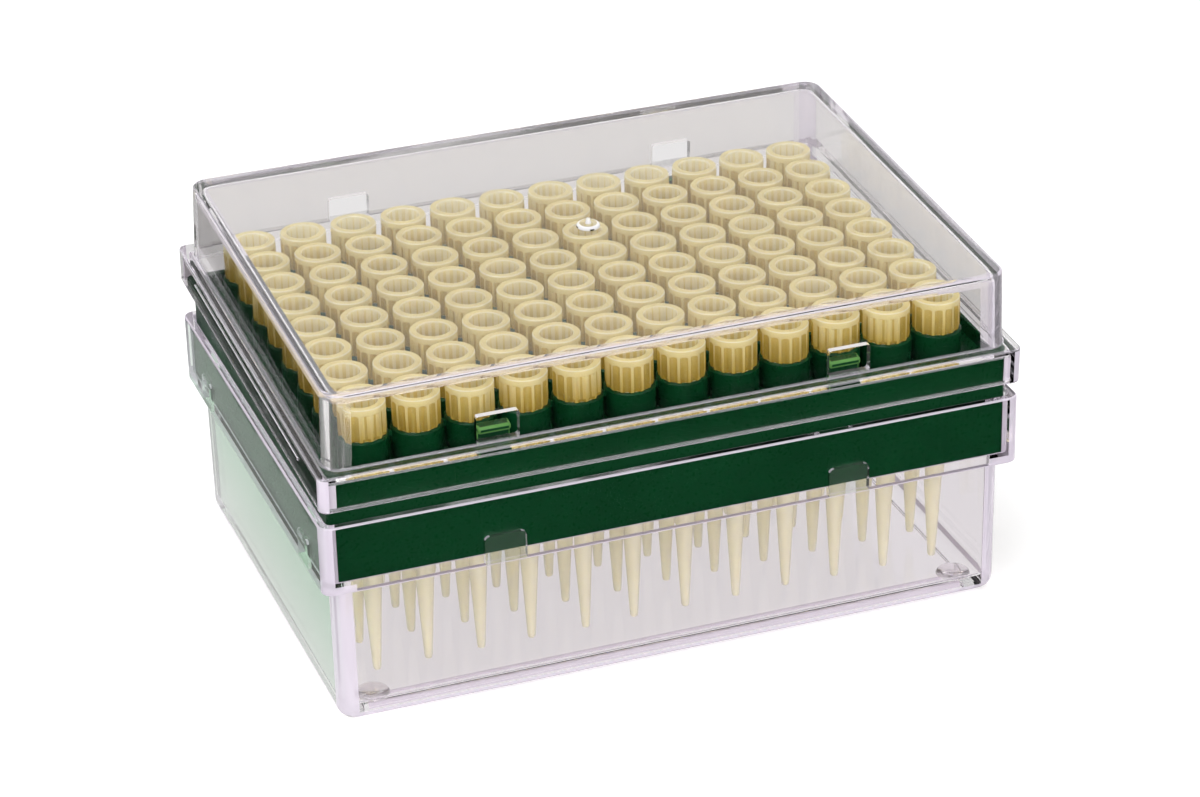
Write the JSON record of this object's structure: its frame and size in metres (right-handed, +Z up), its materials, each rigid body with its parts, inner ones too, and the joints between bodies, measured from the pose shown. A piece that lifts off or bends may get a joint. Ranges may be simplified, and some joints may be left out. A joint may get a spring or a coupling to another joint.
{
  "type": "box of pipette tips",
  "caption": "Clear box holding a green rack of pipette tips; the clear lid and the rack lift straight off the base.",
  "frame": {"origin": "middle of the base's underside, on the surface that the box stands on", "axes": "+Z up; X along the long side and the rows of twelve tips; Y along the short side, towards the back"},
  "size_m": [0.1206, 0.0863, 0.0632],
  "materials": {
    "clear_base": "clear moulded polystyrene",
    "clear_lid": "clear moulded polystyrene",
    "green_tray": "moulded polypropylene, dark green",
    "yellow_tip": "translucent moulded polypropylene, pale yellow"
  },
  "bodies": {
    "base": {"base_box": "clear_base"},
    "tray": {"tip_tray": "green_tray", "tips_column_01_row_1": "yellow_tip", "tips_column_01_row_5": "yellow_tip", "tips_column_02_row_1": "yellow_tip", "tips_column_02_row_5": "yellow_tip", "tips_column_03_row_1": "yellow_tip", "tips_column_03_row_5": "yellow_tip", "tips_column_04_row_1": "yellow_tip", "tips_column_04_row_5": "yellow_tip", "tips_column_05_row_1": "yellow_tip", "tips_column_05_row_5": "yellow_tip", "tips_column_06_row_1": "yellow_tip", "tips_column_06_row_5": "yellow_tip", "tips_column_07_row_1": "yellow_tip", "tips_column_07_row_5": "yellow_tip", "tips_column_08_row_1": "yellow_tip", "tips_column_08_row_5": "yellow_tip", "tips_column_09_row_1": "yellow_tip", "tips_column_09_row_5": "yellow_tip", "tips_column_10_row_1": "yellow_tip", "tips_column_10_row_5": "yellow_tip", "tips_column_11_row_1": "yellow_tip", "tips_column_11_row_5": "yellow_tip", "tips_column_12_row_1": "yellow_tip", "tips_column_12_row_5": "yellow_tip"},
    "lid": {"lid": "clear_lid"}
  },
  "joints": [
    {"name": "tray_lift", "type": "slide", "parent": "base", "child": "tray", "axis": [0, 0, 1], "range_m": [0, 0.055]},
    {"name": "lid_lift", "type": "slide", "parent": "tray", "child": "lid", "axis": [0, 0, 1], "range_m": [0, 0.045]}
  ]
}
